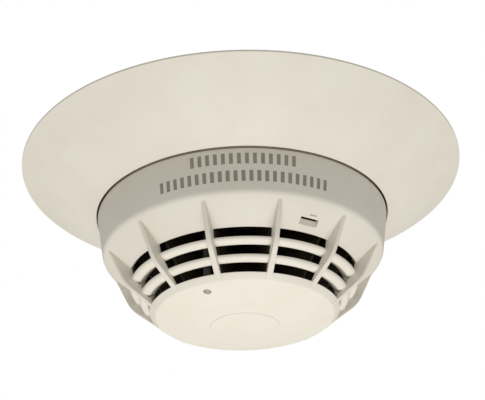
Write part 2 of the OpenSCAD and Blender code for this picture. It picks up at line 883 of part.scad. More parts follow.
// Glass switch that a test magnet closes from outside
module reed_switch() {
    color(clear)
        translate([-22, 0, -board_top + 1.3]) {
            rotate([90, 0, 0])
                cylinder(d = 2, h = 11, center = true);
            rotate([90, 0, 0])
                cylinder(d = 0.5, h = 16, center = true);
            for (side = [-1, 1])
                translate([0, side * 7.9, -1.3])
                    cylinder(d = 0.5, h = 1.5);
        }
}

module surge_diode() {
    color(black)
        translate([22, 0, 0]) {
            block([-1.8, -2.2, board_top - 2.2], [1.8, 2.2, board_top - 0.1]);
            for (side = [-1, 1])
                block([-1, side * 2.5 - 0.5, board_top - 1], [1, side * 2.5 + 0.5, board_top]);
        }
}

// Chip resistors and capacitors, as small blocks in two arcs
module surface_parts() {
    color(black)
        for (a = [52:8:84], r = [26, 30])
            at(a + 4, r)
                block([-1, -0.6, board_top - 0.6], [1, 0.6, board_top]);
}

module status_led() {
    color(clear)
        at(pipe_azimuth, pipe_r)
            block([-1.6, -1.4, board_drop], [1.6, 1.4, board_drop + 1]);
}

// Clear rod from the lamp to the hole in the cap, with a collar under the liner
module light_pipe() {
    color(clear)
        at(pipe_azimuth, pipe_r) {
            bar(pipe_d, board_drop + 1 + touch_gap, dome_drop(pipe_r) - 0.5);
            bar(pipe_d + 1.8, liner_drop, liner_drop + 1);
        }
}

// ---------- Sensing chamber ----------

// Black disc that closes the chamber, its vanes and the lower deck that joins them
module chamber_liner() {
    liner_r = inner_r(liner_drop) - fit_gap;
    deck_drop = cap_drop - 3;
    vane = [[12, liner_drop - 0.2], [inner_r(liner_drop) - 8, liner_drop - 0.2],
            [cone_foot[0] - 0.5, cone_foot[1] - 7], [cap_r - 4, deck_drop], [12, deck_drop]];
    color(black)
        difference() {
            union() {
                lathe(section(holder_d / 2 + 0.1, liner_r, liner_top, liner_drop));
                for (i = [0:rib_count - 1])
                    at((i + 0.5) * 360 / rib_count)
                        fin(vane, vane_t);
                lathe(section(9, cap_r - 4, deck_drop - 1, deck_drop));
            }
            at(pipe_azimuth, pipe_r)
                bar(pipe_d + 0.3, liner_top - over, deck_drop + over);
            tool_way(liner_r + over);
        }
}

// Tube that holds the leads, cut open into three prongs and a ring that guard the bead
module thermistor_holder() {
    tube_drop = bead_top - 6;
    guard_drop = bead_top + 3.5;
    prong = 24;
    color(grey)
        difference() {
            lathe([[holder_bore / 2, board_drop], [4.8, board_drop],
                   [4.8, liner_top], [holder_d / 2, liner_top],
                   [holder_d / 2, guard_drop], [holder_bore / 2, guard_drop]]);
            for (a = [0, 120, 240])
                lathe_arc(section(holder_bore / 2 - over, holder_d / 2 + over, tube_drop, guard_drop - 0.8),
                          a + prong, 120 - prong);
        }
}

module thermistor() {
    color(black) {
        bar(bead_d, bead_top, bead_top + 0.8);
        translate([0, 0, -bead_top - 0.8])
            intersection() {
                sphere(d = bead_d);
                translate([0, 0, -bead_d / 2])
                    cube([bead_d + 1, bead_d + 1, bead_d], center = true);
            }
    }
}

module thermistor_leads() {
    color(tin)
        for (side = [-1, 1])
            translate([side * lead_x, 0, 0])
                bar(lead_d, board_top - 0.6, bead_top);
}

// ---------- What is drawn ----------

trim_ring();
mounting_base();
contact_clip(1);  // contact_clip_1
contact_clip(2);  // contact_clip_2
contact_clip(3);  // contact_clip_3
contact_clip(4);  // contact_clip_4
wire_clamps();
terminal_screws();
lock_lever();
lever_spring();
lever_pin();
head_cover();
rear_housing();
contact_blade(1);  // contact_blade_1
contact_blade(2);  // contact_blade_2
contact_blade(3);  // contact_blade_3
contact_blade(4);  // contact_blade_4
blade_rivets();
circuit_board();
board_screws();
chamber_liner();
address_switch(-1);  // tens_switch
address_switch(1);  // ones_switch
address_dial(-1);  // tens_dial
address_dial(1);  // ones_dial
microcontroller();
capacitor();
reed_switch();
surge_diode();
surface_parts();
status_led();
light_pipe();
thermistor();
thermistor_leads();
thermistor_holder();
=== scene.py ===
# %% [markdown]
# # A ceiling heat detector, dressed in Blender
# The CAD model gives every solid its place. This notebook loads it as a fixed frame, turns
# finer shells where moulded plastic shows its rounded edges, and gives each piece a material
# that starts from the real one. Lengths are in metres, and a level called a drop is measured
# down from the ceiling, as a fitter would measure it.

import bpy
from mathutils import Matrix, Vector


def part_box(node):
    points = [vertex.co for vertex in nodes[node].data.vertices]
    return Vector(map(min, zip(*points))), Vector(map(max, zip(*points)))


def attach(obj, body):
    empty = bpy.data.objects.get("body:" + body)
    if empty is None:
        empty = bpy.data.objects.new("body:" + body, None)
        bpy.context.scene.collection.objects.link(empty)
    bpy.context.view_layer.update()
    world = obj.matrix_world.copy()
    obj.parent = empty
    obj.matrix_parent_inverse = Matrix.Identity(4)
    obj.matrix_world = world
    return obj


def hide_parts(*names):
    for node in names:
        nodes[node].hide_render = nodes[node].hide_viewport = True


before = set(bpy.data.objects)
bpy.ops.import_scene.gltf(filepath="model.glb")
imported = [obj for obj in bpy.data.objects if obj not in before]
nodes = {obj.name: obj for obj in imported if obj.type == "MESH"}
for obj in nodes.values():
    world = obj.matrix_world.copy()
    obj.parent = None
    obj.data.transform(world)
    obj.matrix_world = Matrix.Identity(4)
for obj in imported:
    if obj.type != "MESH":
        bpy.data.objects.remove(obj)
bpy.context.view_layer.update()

import math

import bmesh
import bpy
from mathutils import Matrix, Vector

# %% [markdown]
# ## The camera
# A fitter looks up at the detector from below and in front, through a long lens, so the far
# rim of the trim ring is only a little smaller than the near one. The camera is built from
# three directions: right, up and back. A slight roll tips the ceiling line, as a hand-held
# camera does.

# %% Camera
MM = 0.001
CAMERA_AT = Vector((0, -370.35, -212.6)) * MM
AIM_AT = Vector((0, 0, -9.19)) * MM
CAMERA_ROLL = -0.02714

back = (CAMERA_AT - AIM_AT).normalized()
right = Vector((1, 0, 0))
up = back.cross(right)
cam_x = math.cos(CAMERA_ROLL) * right + math.sin(CAMERA_ROLL) * up
cam_y = -math.sin(CAMERA_ROLL) * right + math.cos(CAMERA_ROLL) * up

camera_data = bpy.data.cameras.new("camera")
camera_data.lens = 90.12
camera_data.sensor_width = 36
camera_data.shift_x = 0.0016
camera_data.clip_start = 0.01
camera_data.clip_end = 20
camera = bpy.data.objects.new("camera", camera_data)
bpy.context.scene.collection.objects.link(camera)
turned = Matrix((cam_x, cam_y, back)).transposed().to_4x4()
camera.matrix_world = Matrix.Translation(CAMERA_AT) @ turned
bpy.context.scene.camera = camera
print("camera looks up by", round(math.degrees(math.asin(-back.z)), 1), "degrees")

# %% [markdown]
# ## Small tools for nodes
# Materials and Geometry Nodes are both node trees. One function adds any node, sets its
# properties, and fills its inputs with either a plain value or a link from another node. The
# other turns a hex colour, as a paint chart gives it, into the linear values that light uses.

# %% Node and colour helpers
def add(tree, kind, inputs=None, **settings):
    node = tree.nodes.new(kind)
    for name, value in settings.items():
        setattr(node, name, value)
    for name, value in (inputs or {}).items():
        socket = node.inputs[name]
        if isinstance(value, bpy.types.NodeSocket):
            tree.links.new(value, socket)
        else:
            socket.default_value = value
    return node


def linear(hex_colour):
    parts = [int(hex_colour[i:i + 2], 16) / 255 for i in (1, 3, 5)]
    return [c / 12.92 if c <= 0.04045 else ((c + 0.055) / 1.055) ** 2.4 for c in parts] + [1]


print("cream in linear light:", [round(c, 3) for c in linear("#ECE6D9")])

# %% [markdown]
# ## What a surface is made of
# Every material here has the same three layers of detail. Slow noise drifts the colour a
# little, as batches and handling do. Fine noise moves the roughness, so a highlight breaks
# up. A bump at the real grain size gives the skin that the mould or the metal working left.
# Object coordinates carry all three, so the grain stays put when a body moves.

# %% Surface builder
def surface(name, colour, shade, roughness, grain_mm, bump_mm, drift_mm=9, stretch=(1, 1, 1), **shader):
    """A material whose colour drifts from colour to shade, with grain of a real size."""
    made = bpy.data.materials.new(name)
    made.use_nodes = True
    tree = made.node_tree
    tree.nodes.clear()
    coords = add(tree, "ShaderNodeTexCoord").outputs["Object"]
    place = add(tree, "ShaderNodeMapping", {"Vector": coords, "Scale": stretch}).outputs["Vector"]
    drift = add(tree, "ShaderNodeTexNoise", {
        "Vector": place, "Scale": 1 / (drift_mm * MM), "Detail": 3.0, "Roughness": 0.6})
    grain = add(tree, "ShaderNodeTexNoise", {
        "Vector": place, "Scale": 1 / (grain_mm * MM), "Detail": 2.0, "Roughness": 0.55})
    ramp = add(tree, "ShaderNodeMapRange", {
        "Value": drift.outputs["Fac"], "From Min": 0.35, "From Max": 0.7})
    tint = add(tree, "ShaderNodeMix", {
        "Factor": ramp.outputs["Result"], "A": linear(colour), "B": linear(shade)}, data_type="RGBA")
    rough = add(tree, "ShaderNodeMapRange", {
        "Value": grain.outputs["Fac"], "From Min": 0.3, "From Max": 0.7,
        "To Min": roughness - 0.05, "To Max": roughness + 0.06})
    skin = add(tree, "ShaderNodeBump", {
        "Height": grain.outputs["Fac"], "Distance": bump_mm * MM, "Strength": 1.0})
    body = add(tree, "ShaderNodeBsdfPrincipled", {
        "Base Color": tint.outputs["Result"], "Roughness": rough.outputs["Result"],
        "Normal": skin.outputs["Normal"], **shader})
    add(tree, "ShaderNodeOutputMaterial", {"Surface": body.outputs["BSDF"]})
    return made


# %% [markdown]
# ## Plastics
# The cover, ring, base and rear housing are injection-moulded PC/ABS in a warm white. A
# spark-eroded mould leaves a fine, even grain of about a quarter of a millimetre, which makes
# the skin satin rather than glossy. The chamber's liner is a warm near-black, so little light
# shows through the louvres. The lever and switch bodies are acetal, a waxier grey.

# %% Plastic materials
CREAM = surface("pc_abs_spark_eroded_cream", "#ECE6D9", "#E9E2D4", 0.52, 0.3, 0.010,
                drift_mm=14, IOR=1.46)
CREAM_HIDDEN = surface("pc_abs_smooth_core_cream", "#E6DFCE", "#DED6C3", 0.36, 0.5, 0.008,
                       drift_mm=18, IOR=1.53)
BLACK_LINER = surface("pc_matt_moulded_black", "#4A4030", "#40382A", 0.7, 0.4, 0.02, IOR=1.55)
BLACK_HOLDER = surface("nylon_moulded_black", "#1B1813", "#16130F", 0.6, 0.4, 0.02, IOR=1.53)
ACETAL = surface("acetal_moulded_grey", "#8E8D88", "#83827D", 0.38, 0.5, 0.01, IOR=1.48)
DIAL = surface("nylon_moulded_white", "#DAD8CF", "#CFCCC0", 0.40, 0.4, 0.01, IOR=1.52)
INK = surface("pad_printed_ink_grey", "#938D7D", "#9D9787", 0.50, 0.35, 0.006, drift_mm=2, IOR=1.5)
print("plastics:", [m.name for m in (CREAM, CREAM_HIDDEN, BLACK_LINER, BLACK_HOLDER, ACETAL, DIAL, INK)])

# %% [markdown]
# ## Metals, glass and the board
# Tinned bronze springs carry the current, zinc-plated steel makes the screws and clamps, and
# drawn spring wire makes the lever's spring. Rolled and drawn metal has grain that runs one
# way, so its noise is stretched. Encapsulated parts are matt black epoxy, and the board is
# glass-fibre laminate under green solder mask.

# %% Metal, glass and board materials
TINNED = surface("phosphor_bronze_tinned", "#C9C6BB", "#B7B1A0", 0.30, 0.15, 0.004,
                 drift_mm=4, stretch=(1, 0.1, 1), Metallic=1.0)
ZINC = surface("steel_zinc_plated", "#B9BCC2", "#A6A79F", 0.34, 0.2, 0.005, drift_mm=3, Metallic=1.0)
SPRING = surface("spring_steel_drawn", "#9EA0A3", "#85868A", 0.28, 0.1, 0.004,
                 drift_mm=2, stretch=(1, 1, 0.1), Metallic=1.0)
CAN = surface("aluminium_drawn_can", "#C4C6C8", "#B2B4B7", 0.26, 0.2, 0.003, drift_mm=3, Metallic=1.0)
EPOXY = surface("epoxy_moulded_black", "#1A1A1B", "#232324", 0.55, 0.12, 0.008, drift_mm=3, IOR=1.55)
MASK = surface("glass_fibre_laminate_green_mask", "#1C5B33", "#174D2B", 0.30, 0.8, 0.012,
               drift_mm=5, stretch=(1, 1.6, 1), IOR=1.54)
GLASS = surface("soda_glass_drawn_tube", "#DDE6E4", "#D4DEDC", 0.08, 0.5, 0.001,
                IOR=1.52, **{"Transmission Weight": 0.9})
CLEAR = surface("acrylic_polished_clear", "#E8ECEA", "#E1E6E4", 0.10, 0.5, 0.001,
                IOR=1.49, **{"Transmission Weight": 0.85})
LENS = surface("acrylic_frosted_lens", "#B4AEA0", "#A8A295", 0.14, 0.5, 0.001,
               IOR=1.49, **{"Transmission Weight": 0.15})
# A bead of this near-white material beside the lamp's lens is a painted highlight, not a real part.
GLINT = surface("painted_lens_highlight", "#F7F5F0", "#F3F1EB", 0.08, 0.5, 0.001, IOR=1.49)
print("metals:", [m.name for m in (TINNED, ZINC, SPRING, CAN)])
print("board, glass and clear parts:", [m.name for m in (EPOXY, MASK, GLASS, CLEAR, LENS, GLINT)])

# %% [markdown]
# ## Sections and rounded corners
# A moulded shell is a section turned about the axis. A section is a list of corners, each
# given as radius, drop and how far it is rounded, because no moulded corner is sharp: the
# smallest radius catches a thin line of light that shows where one face ends.

# %% Section helpers
def rounded(corners, steps=5):
    """Points round a closed section, with each (radius, drop, rounding) corner turned into an arc."""
    points = []
    for i, (r, drop, rounding) in enumerate(corners):
        here = Vector((r, drop))
        if rounding <= 0:
            points.append(here)
            continue
        before = Vector(corners[i - 1][:2]) - here
        after = Vector(corners[(i + 1) % len(corners)][:2]) - here
        half = before.angle(after) / 2
        reach = min(rounding / math.tan(half), 0.48 * before.length, 0.48 * after.length)
        radius = reach * math.tan(half)
        first = before.normalized() * reach
        last = after.normalized() * reach
        centre = (before.normalized() + after.normalized()).normalized() * (radius / math.sin(half))
        sweep = math.pi - 2 * half
        a = first - centre
        b = last - centre
        for k in range(steps + 1):
            t = k / steps
            w = [math.sin((1 - t) * sweep) / math.sin(sweep), math.sin(t * sweep) / math.sin(sweep)]
            points.append(here + centre + a * w[0] + b * w[1])
    return points


def on_axis(point):
    """Put a section's (radius, drop) point in mm on the plane of the axis, in metres."""
    return (point[0] * MM, 0, -point[1] * MM)


# %% [markdown]
# ## From mesh to object
# Blender keeps a mesh apart from the object that shows it, and a bmesh apart from both while
# it is being edited. Three helpers do the steps between them, so that no piece repeats them.

# %% Object helpers
def placed(name, mesh):
    """Show a mesh as a new object in the scene."""
    obj = bpy.data.objects.new(name, mesh)
    bpy.context.scene.collection.objects.link(obj)
    return obj


def from_bmesh(name, work):
    """Show a finished bmesh as a new object, and free it."""
    mesh = bpy.data.meshes.new(name)
    work.to_mesh(mesh)
    work.free()
    return placed(name, mesh)


def built_mesh(obj):
    """A plain mesh of an object with its modifiers run."""
    graph = bpy.context.evaluated_depsgraph_get()
    return bpy.data.meshes.new_from_object(obj.evaluated_get(graph))


# %% [markdown]
# ## Two node trees that build by rule
# The first tree turns a section about the axis. It lays out a grid with one column for each
# step of the turn and one row for each point of the section, reads each section point by its
# index, and turns it to its column's angle. The second tree sets copies of one piece around
# the axis at equal angles, which is how ribs, gussets and printed bars repeat. Both merge or
# realize their result and set the material, so that nothing is left as an instance.

# %% Tree helpers
def new_tree(name, inputs):
    tree = bpy.data.node_groups.new(name, "GeometryNodeTree")
    face = tree.interface
    face.new_socket("Geometry", in_out="INPUT", socket_type="NodeSocketGeometry")
    for label, kind in inputs:
        face.new_socket(label, in_out="INPUT", socket_type=kind)
    face.new_socket("Geometry", in_out="OUTPUT", socket_type="NodeSocketGeometry")
    return tree, add(tree, "NodeGroupInput").outputs


def apply_tree(obj, tree, values, name):
    """Run a tree on obj with named values, and return the result as a plain mesh object."""
    run = obj.modifiers.new("build", "NODES")
    run.node_group = tree
    for item in tree.interface.items_tree:
        if item.in_out == "INPUT" and item.name in values:
            run[item.identifier] = values[item.name]
    mesh = built_mesh(obj)
    bpy.data.objects.remove(obj)
    return placed(name, mesh)


# %% The turning tree
TURN, given = new_tree("turn a section", [
    ("Steps", "NodeSocketInt"), ("Points", "NodeSocketInt"), ("Finish", "NodeSocketMaterial")])
grid = add(TURN, "GeometryNodeMeshGrid", {"Vertices Y": given["Points"]})
columns = add(TURN, "ShaderNodeMath", {0: given["Steps"], 1: 1.0}, operation="ADD")
TURN.links.new(columns.outputs[0], grid.inputs["Vertices X"])
index = add(TURN, "GeometryNodeInputIndex").outputs[0]
row = add(TURN, "ShaderNodeMath", {0: index, 1: given["Points"]}, operation="FLOORED_MODULO").outputs[0]
ratio = add(TURN, "ShaderNodeMath", {0: index, 1: given["Points"]}, operation="DIVIDE").outputs[0]
column = add(TURN, "ShaderNodeMath", {0: ratio}, operation="FLOOR").outputs[0]
part_turn = add(TURN, "ShaderNodeMath", {0: column, 1: given["Steps"]}, operation="DIVIDE").outputs[0]
angle = add(TURN, "ShaderNodeMath", {0: part_turn, 1: 2 * math.pi}, operation="MULTIPLY").outputs[0]
place = add(TURN, "GeometryNodeInputPosition").outputs[0]
picked = add(TURN, "GeometryNodeSampleIndex", {
    "Geometry": given["Geometry"], "Value": place, "Index": row}, data_type="FLOAT_VECTOR")
spun = add(TURN, "ShaderNodeVectorRotate", {
    "Vector": picked.outputs["Value"], "Angle": angle}, rotation_type="Z_AXIS")
wrapped = add(TURN, "GeometryNodeSetPosition", {
    "Geometry": grid.outputs["Mesh"], "Position": spun.outputs["Vector"]})
closed = add(TURN, "GeometryNodeMergeByDistance", {
    "Geometry": wrapped.outputs["Geometry"], "Distance": 1e-6})
whole = add(TURN, "GeometryNodeRealizeInstances", {"Geometry": closed.outputs["Geometry"]})
finished = add(TURN, "GeometryNodeSetMaterial", {
    "Geometry": whole.outputs["Geometry"], "Material": given["Finish"]})
add(TURN, "NodeGroupOutput", {"Geometry": finished.outputs["Geometry"]})
print("turning tree has", len(TURN.nodes), "nodes")

# %% The repeating tree
REPEAT, given = new_tree("copies around the axis", [
    ("Count", "NodeSocketInt"), ("First angle", "NodeSocketFloat"),
    ("Step angle", "NodeSocketFloat"), ("Finish", "NodeSocketMaterial")])
spots = add(REPEAT, "GeometryNodeMeshLine", {"Count": given["Count"], "Offset": (0, 0, 0)})
index = add(REPEAT, "GeometryNodeInputIndex").outputs[0]
stepped = add(REPEAT, "ShaderNodeMath", {
    0: index, 1: given["Step angle"], 2: given["First angle"]}, operation="MULTIPLY_ADD").outputs[0]
about_z = add(REPEAT, "ShaderNodeCombineXYZ", {"Z": stepped}).outputs[0]
copies = add(REPEAT, "GeometryNodeInstanceOnPoints", {
    "Points": spots.outputs["Mesh"], "Instance": given["Geometry"], "Rotation": about_z})
whole = add(REPEAT, "GeometryNodeRealizeInstances", {"Geometry": copies.outputs["Instances"]})
finished = add(REPEAT, "GeometryNodeSetMaterial", {
    "Geometry": whole.outputs["Geometry"], "Material": given["Finish"]})
add(REPEAT, "NodeGroupOutput", {"Geometry": finished.outputs["Geometry"]})
print("repeating tree has", len(REPEAT.nodes), "nodes")

# %% [markdown]
# ## From tree to piece
# A turned shell closes on itself, so after its seam is merged its faces are made to point
# outwards, and it is shaded smooth except where two faces meet at more than 35 degrees. An
# angle here is counted as the CAD counts it, from the front towards the right, and a copy is
# turned by that azimuth less 90 degrees because it is modelled along +X.

# %% Piece helpers
def tidy(obj, sharp=35):
    """Merge doubles, point faces outwards and shade smooth up to an angle."""
    work = bmesh.new()
    work.from_mesh(obj.data)
    bmesh.ops.remove_doubles(work, verts=work.verts, dist=1e-6)
    bmesh.ops.recalc_face_normals(work, faces=work.faces)
    if work.calc_volume(signed=True) < 0:
        bmesh.ops.reverse_faces(work, faces=work.faces)
    work.to_mesh(obj.data)
    work.free()
    obj.data.shade_smooth()
    obj.data.set_sharp_from_angle(angle=math.radians(sharp))
    return obj


def bare(name, points, faces=()):
    """An object from points in metres, with faces or without."""
    mesh = bpy.data.meshes.new(name)
    mesh.from_pydata([tuple(p) for p in points], [], list(faces))
    return placed(name, mesh)


def prism(name, outline, half_width):
    """A plate whose (x, z) outline in mm is repeated on both sides of Y = 0."""
    n = len(outline)
    points = [(x * MM, y * MM, z * MM) for y in (-half_width, half_width) for x, z in outline]
    sides = [(i, (i + 1) % n, (i + 1) % n + n, i + n) for i in range(n)]
    return bare(name, points, faces=[range(n), range(2 * n - 1, n - 1, -1), *sides])


def turned_shell(name, corners, material, steps=288, closed=True):
    section = rounded(corners)
    if closed:
        section = section + [section[0]]
    made = apply_tree(bare(name + "_section", [on_axis(p) for p in section]), TURN,
                      {"Steps": steps, "Points": len(section), "Finish": material}, name)
    tidy(made)
    print(name, len(made.data.polygons), "faces")
    return made


def around(name, one, count, first, step, material):
    """Copies of a piece modelled along +X, set at azimuths from first in equal steps."""
    made = apply_tree(one, REPEAT, {
        "Count": count, "First angle": math.radians(first - 90),
        "Step angle": math.radians(step), "Finish": material}, name)
    print(name, count, "copies,", len(made.data.polygons), "faces")
    return made


def cut(obj, cutter):
    """Take a cutter's volume out of a piece, which keeps one material all over."""
    skin = obj.data.materials[-1]
    saw = obj.modifiers.new("cut", "BOOLEAN")
    saw.operation = "DIFFERENCE"
    saw.solver = "MANIFOLD"
    saw.object = cutter
    mesh = built_mesh(obj)
    obj.modifiers.clear()
    mesh.materials.clear()
    mesh.materials.append(skin)
    obj.data = mesh
    bpy.data.objects.remove(cutter)
    return obj


def box_piece(name, low, high, turn=None):
    """A block between two corners in mm, given as out, along and drop, and then turned."""
    made = bmesh.new()
    bmesh.ops.create_cube(made, size=1)
    for v in made.verts:
        v.co = Vector([((a + b) / 2 + c * (b - a)) * MM for a, b, c in zip(low, high, v.co)])
        v.co.z = -v.co.z
    if turn is not None:
        made.transform(turn)
    bmesh.ops.recalc_face_normals(made, faces=made.faces)
    return from_bmesh(name, made)


# %% [markdown]
# ## The detector's own measures
# These follow the CAD's sizes, in millimetres. Small roundings are added, the ring's lip is
# set a little closer to the head, the lamp's hole is a little smaller, and the cone's slope is
# rounded to a tenth of a degree. The cone is the recessed face under the
# shoulder, the strip is the narrow face under the lowest slot, and the cap is the shallow
# dome in the middle. A place in a section is a radius and a drop.

# %% Ring and band measures
RING_R = 1000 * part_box("trim_ring")[1].x
RING_EDGE = 0.6
RING_WALL = 1.8
LIP_START = (52.2, 16.7)
LIP_EDGE = (49.85, 18.1)
LIP_TOP = 16.0
HEAD_R = 49.5
BAND_TOP = 17.8
BAND_LEAN = math.radians(8.4)
BAND_EDGE = 18.0
SKIRT_TOP = 14.0
SKIRT_STEP = 0.9
COVER_WALL = 1.8
CRISP = 0.12                # rounding of a corner that looks sharp
EASED = 0.2                 # rounding of an ordinary inner corner
FINE_STEPS = 360


def band_r(drop):
    """Radius of the leaning band at a drop."""
    return HEAD_R - math.tan(BAND_LEAN) * max(0, drop - BAND_TOP)


print("band narrows to", round(band_r(30), 2), "mm at a drop of 30 mm")

# %% Cap, louvre and cone measures
CAP_R = 29.5
CAP_DROP = 53.4
DOME_H = 3.85
DOME_R = (CAP_R ** 2 + DOME_H ** 2) / (2 * DOME_H)
DISC_R = 11.4
DISC_H = 0.25
STRIP_HEAD = (31.6, 51.7)
LOUVRE_STEP = 3.25
LOUVRE_PITCH = 4.5
LOUVRE_W = 4.9
NOSE_W = 2.75
NOSE_H = 1.6
CONE_SLOPE = math.radians(41.2)
CONE_FOOT = (38.6, 39.8)
WINDOW_AZ = 30
WINDOW_UP = 3.65
LAMP_AZ = -26.8
LAMP_R = 25.7
LAMP_HOLE = 1.3


def dome_drop(r):
    """Drop of the cap's dome at a radius."""
    return CAP_DROP + DOME_H - (DOME_R - math.sqrt(DOME_R ** 2 - r * r))


def cone_point(up_slope, out=0):
    """(radius, drop) of a point up the cone from its foot and out from its face."""
    return (CONE_FOOT[0] + up_slope * math.cos(CONE_SLOPE) + out * math.sin(CONE_SLOPE),
            CONE_FOOT[1] - up_slope * math.sin(CONE_SLOPE) + out * math.cos(CONE_SLOPE))


print("dome's radius in mm:", round(DOME_R, 1))

# %% [markdown]
# ## The trim ring
# On the real detector this is a thin moulded cone that hides the base and covers the old
# paint line. It is one turned section, and its lip is rounded where it meets the head. Behind
# it stand a hub, which grips the base, and gussets, which a tree repeats.

# %% Trim ring shell
slope = Vector(LIP_START) - Vector((RING_R, RING_EDGE))
inward = Vector((-slope.y, slope.x)).normalized() * RING_WALL
inner_lip = Vector(LIP_START) + inward
at_top = Vector((RING_R, RING_EDGE)) + inward
inner_top = at_top + slope * (-at_top.y / slope.y)
ring_shell = turned_shell("trim_ring_shell", [
    (inner_top.x, 0, 0.1), (RING_R, 0, CRISP), (RING_R, RING_EDGE, 0.35), (*LIP_START, 2.5),
    (*LIP_EDGE, 0.5), (LIP_EDGE[0], LIP_TOP, EASED), (*inner_lip, 0.4)], CREAM, steps=FINE_STEPS)

# %% Hub behind the ring
HUB_IN = 58.25
HUB_OUT = 59.65


def under_ring(r, sunk=0.5):
    """Drop of the ring's inner face at a radius, a little inside its wall."""
    t = (r - inner_top.x) / (inner_lip.x - inner_top.x)
    return inner_top.y + t * (inner_lip.y - inner_top.y) + sunk


hub = turned_shell("trim_ring_hub", [
    (HUB_IN, 0, 0.1), (HUB_OUT, 0, 0.1),
    (HUB_OUT, under_ring(HUB_OUT), 0), (HUB_IN, under_ring(HUB_IN), 0)], CREAM_HIDDEN, steps=240)

# %% Gussets behind the ring
GUSSETS = 16
GUSSET_TOP = 0.5
GUSSET_OUT = 72.6
GUSSET_HALF_T = 0.6
gusset_in = HUB_OUT - 0.6
gusset_line = [(gusset_in, -GUSSET_TOP), (GUSSET_OUT, -GUSSET_TOP),
               (GUSSET_OUT, -under_ring(GUSSET_OUT)), (gusset_in, -under_ring(gusset_in))]
gusset = tidy(prism("gusset", gusset_line, GUSSET_HALF_T))
gusset_turn = 360 / GUSSETS
gussets = around("trim_ring_gussets", gusset, GUSSETS, gusset_turn / 2, gusset_turn, CREAM_HIDDEN)
tidy(gussets)

# %% [markdown]
# ## The cover's shell
# The shell runs from the skirt inside the ring, down the leaning band, round the shoulder and
# in along the cone, where the first slot starts. Inside it a ledge carries the chamber liner.
# The release window is a pocket in the cone. Its floor slopes in from the lower edge, and it
# opens right through along the upper edge, so a thin blade can reach the lock lever.

# %% Lines of the cover
shift = COVER_WALL / math.cos(BAND_LEAN)
lean = Vector((-math.sin(BAND_LEAN), math.cos(BAND_LEAN)))
up_cone = Vector((math.cos(CONE_SLOPE), -math.sin(CONE_SLOPE)))
start = Vector((HEAD_R, BAND_TOP))
foot = Vector(CONE_FOOT)


def crossing(p, u, q, v):
    """Where the line through p along u meets the line through q along v."""
    w = q - p
    return p + u * ((w.x * v.y - w.y * v.x) / (u.x * v.y - u.y * v.x))


corner = crossing(start, lean, foot, up_cone)
foot_in = Vector(cone_point(0, -COVER_WALL))
corner_in = crossing(Vector((band_r(BAND_TOP) - shift, BAND_TOP)), lean, foot_in, up_cone)
print("wall measured level across the band:", round(shift, 2), "mm")

# %% Cover shell
LEDGE_DROP = 24.2
LEDGE_W = 2.6
LINER_DROP = 22.6
SHOULDER_ROUND = 3.0
# Rows up the cone, closer together at the window and with one along each of its edges, so
# that the cut leaves no long thin faces.
CONE_ROWS = (8.2, 7.2, 6.2, 5.6, 4.95, 4.4, 3.8, 3.2, 2.7, 2.35, 1.6, 1.0)
CONE_ROWS_IN = (1.2, 2.4, 3.4, 4.4, 5.4, 6.6, 7.8)
ledge_in = band_r(LEDGE_DROP) - shift - LEDGE_W
cone_run = [(*cone_point(row_up), 0) for row_up in CONE_ROWS]
cone_run_in = [(*cone_point(row_up, -COVER_WALL), 0) for row_up in CONE_ROWS_IN]
cover_shell = turned_shell("cover_shell", [
    (HEAD_R - shift, SKIRT_TOP, EASED), (HEAD_R - SKIRT_STEP, SKIRT_TOP, EASED),
    (HEAD_R - SKIRT_STEP, BAND_EDGE, 0), (band_r(BAND_EDGE), BAND_EDGE, 0.15),
    (*corner, SHOULDER_ROUND), *cone_run, (*foot, CRISP), (*foot_in, EASED), *cone_run_in,
    (*corner_in, 1.5), (band_r(LEDGE_DROP + LEDGE_W) - shift, LEDGE_DROP + LEDGE_W, 0),
    (ledge_in, LEDGE_DROP, EASED), (ledge_in, LINER_DROP, EASED),
    (band_r(LINER_DROP) - shift, LINER_DROP, 0),
    (band_r(BAND_TOP) - shift, BAND_TOP, 0)], CREAM, steps=FINE_STEPS)
print("shoulder corner in mm:", [round(c, 2) for c in corner])

# %% [markdown]
# ## The release window
# A frame on the cone puts its own axes at the window: X down the slope, Y around, Z out of
# the face. One cutter is modelled in that frame: its wedge makes the pocket, and its narrow
# part goes right through. It is one closed solid, because two cutters that share a face
# leave slivers behind.

# %% Window frame and cutter
def on_cone(azimuth, up_slope):
    """Matrix from a frame on the cone (X down the slope, Y around, Z out) to the model, in metres."""
    r, drop = cone_point(up_slope)
    spin = Matrix.Rotation(math.radians(azimuth - 90), 4, "Z")
    tip = Matrix.Rotation(math.pi - CONE_SLOPE, 4, "Y")
    return spin @ Matrix.Translation((r * MM, 0, -drop * MM)) @ tip


WINDOW = on_cone(WINDOW_AZ, WINDOW_UP)
HALF_H = 1.3                # half the window's height, up and down the slope
HALF_W = 3.2                # half its width, around the head
SLOT_END = -0.2             # the slot runs from the upper edge to here
POCKET = 1.1                # depth of the sloping floor where the slot starts
PROUD = 0.75                # how far the cutter stands out of the face
THROUGH = 3.2               # how far it reaches in, past the wall
cutter_line = [(-HALF_H, PROUD), (2.3, PROUD), (SLOT_END, -POCKET),
               (SLOT_END, -THROUGH), (-HALF_H, -THROUGH)]
cutter = prism("window_cutter", cutter_line, HALF_W)
cutter.data.transform(WINDOW)
tidy(cutter)
cut(cover_shell, cutter)


def soften(obj, width_mm, segments=2, limit=40):
    """Round the edges sharper than a limit, then keep only the mesh."""
    edge = obj.modifiers.new("soften", "BEVEL")
    edge.width = width_mm * MM
    edge.segments = segments
    edge.limit_method = "ANGLE"
    edge.angle_limit = math.radians(limit)
    edge.harden_normals = False
    mesh = built_mesh(obj)
    obj.modifiers.clear()
    obj.data = mesh
    return tidy(obj)


